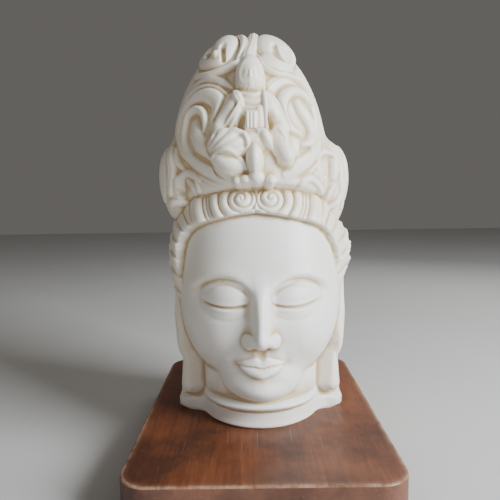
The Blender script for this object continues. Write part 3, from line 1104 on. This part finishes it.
class MARBLE_OT_make_board(bpy.types.Operator):
    """Make the rounded board and lay its stained finish on it"""
    bl_idname = "marble.make_board"
    bl_label = "Make the board"

    def execute(self, context):
        settings = context.scene.marble_board
        points = board_points(BOARD_BOX, settings.corner, settings.ease, 24, 6)
        middle = (np.array(BOARD_BOX[0]) + np.array(BOARD_BOX[1])) / 2
        low, high = middle.copy(), middle.copy()
        low[2], high[2] = BOARD_BOX[0][2], BOARD_BOX[1][2]
        mesh = grid_mesh("stained_board", points, low, high)
        rounded = BOARD_BOX[1][2] - points[..., 2] < settings.ease * 0.9
        edge = np.where(rounded, 1.0, 0.0)
        edge[-len(TOP_RINGS):] = np.array([0.6, 0.2, 0.0, 0.0])[:, None]
        wall = np.where(rounded, 0.0, 1.0)
        for name, values in (("edge", edge), ("wall", wall)):
            layer = mesh.attributes.new(name, "FLOAT", "POINT")
            layer.data.foreach_set("value", np.append(values.ravel(), [0, 0]).astype(np.float32))
        piece = piece_from("stained_board", mesh, wood_material(settings))
        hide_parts("wooden_board")
        return {"FINISHED"}


class MARBLE_OT_set_stage(bpy.types.Operator):
    """Lay the floor, hang the lights and place the camera"""
    bl_idname = "marble.set_stage"
    bl_label = "Set the stage"

    def execute(self, context):
        settings = context.scene.marble_stage
        mesh = bpy.data.meshes.new("floor")
        half = FLOOR_HALF
        corners = [(-half, -half, 0), (half, -half, 0), (half, half, 0), (-half, half, 0)]
        mesh.from_pydata(corners, [], [(0, 1, 2, 3)])
        mesh.materials.append(floor_material(settings))
        floor = bpy.data.objects.new("floor", mesh)
        context.collection.objects.link(floor)
        aim = Vector((0, 0, 0.17))
        self.hang(context, "key", (0.95, -0.62, 0.62), 0.55, settings.key_power, (0.90, 0.96, 1.0), aim)
        self.hang(context, "fill", (-0.5, -1.1, 0.5), 0.9, settings.fill_power, (1.0, 0.95, 0.90), aim)
        self.hang(context, "back", (0.5, 0.8, 0.7), 0.6, settings.fill_power, (1.0, 0.95, 0.88), aim)
        world = bpy.data.worlds.new("soft_room")
        world.use_nodes = True
        background = world.node_tree.nodes["Background"]
        background.inputs["Color"].default_value = (0.86, 0.82, 0.78, 1)
        background.inputs["Strength"].default_value = 0.15
        context.scene.world = world
        self.place_camera(context, settings)
        return {"FINISHED"}

    @staticmethod
    def hang(context, name, place, size, power, tint, aim):
        light = bpy.data.lights.new(name, "AREA")
        light.size, light.energy, light.color = size, power, tint
        lamp = bpy.data.objects.new(name, light)
        context.collection.objects.link(lamp)
        lamp.location = place
        lamp.rotation_mode = "QUATERNION"
        lamp.rotation_quaternion = (aim - Vector(place)).to_track_quat("-Z", "Y")

    @staticmethod
    def place_camera(context, settings):
        """looks 5.4 degrees down from just left of the middle, rolled a little to the left"""
        pitch, yaw, roll = math.radians(5.44), math.radians(-0.23), math.radians(-0.81)
        ahead = Vector((math.sin(yaw) * math.cos(pitch), math.cos(yaw) * math.cos(pitch), -math.sin(pitch)))
        level = Vector((math.cos(yaw), -math.sin(yaw), 0))
        above = level.cross(ahead)
        right = level * math.cos(roll) + above * math.sin(roll)
        upward = above * math.cos(roll) - level * math.sin(roll)
        place = Vector((-0.0054, -settings.camera_distance, BOARD_BOX[1][2] + settings.camera_height))
        lens = bpy.data.cameras.new("camera")
        lens.sensor_width, lens.lens = 36.0, 35.33
        camera = bpy.data.objects.new("camera", lens)
        context.collection.objects.link(camera)
        camera.matrix_world = Matrix((right, upward, -ahead)).transposed().to_4x4()
        camera.matrix_world.translation = place
        context.scene.camera = camera


class MARBLE_PT_panel(bpy.types.Panel):
    """Lists the pieces and their sizes and colours"""
    bl_idname = "MARBLE_PT_panel"
    bl_label = "Marble head"
    bl_space_type = "VIEW_3D"
    bl_region_type = "UI"
    bl_category = "Marble head"

    def draw(self, context):
        for operator, group in STEPS:
            self.layout.operator(operator.bl_idname)
            settings = getattr(context.scene, group)
            for name in type(settings).__annotations__:
                self.layout.prop(settings, name)


STEPS = ((MARBLE_OT_carve_head, "marble_head"), (MARBLE_OT_make_board, "marble_board"),
         (MARBLE_OT_set_stage, "marble_stage"))
GROUPS = {"marble_head": MarbleHeadSettings, "marble_board": BoardSettings, "marble_stage": StageSettings}
CLASSES = (*GROUPS.values(), MARBLE_OT_carve_head, MARBLE_OT_make_board, MARBLE_OT_set_stage, MARBLE_PT_panel)


def register():
    for cls in CLASSES:
        bpy.utils.register_class(cls)
    for name, group in GROUPS.items():
        setattr(bpy.types.Scene, name, bpy.props.PointerProperty(type=group))


def unregister():
    for name in GROUPS:
        delattr(bpy.types.Scene, name)
    for cls in reversed(CLASSES):
        bpy.utils.unregister_class(cls)


def main():
    register()
    bpy.ops.marble.carve_head()
    bpy.ops.marble.make_board()
    bpy.ops.marble.set_stage()


if __name__ == "__main__":
    main()
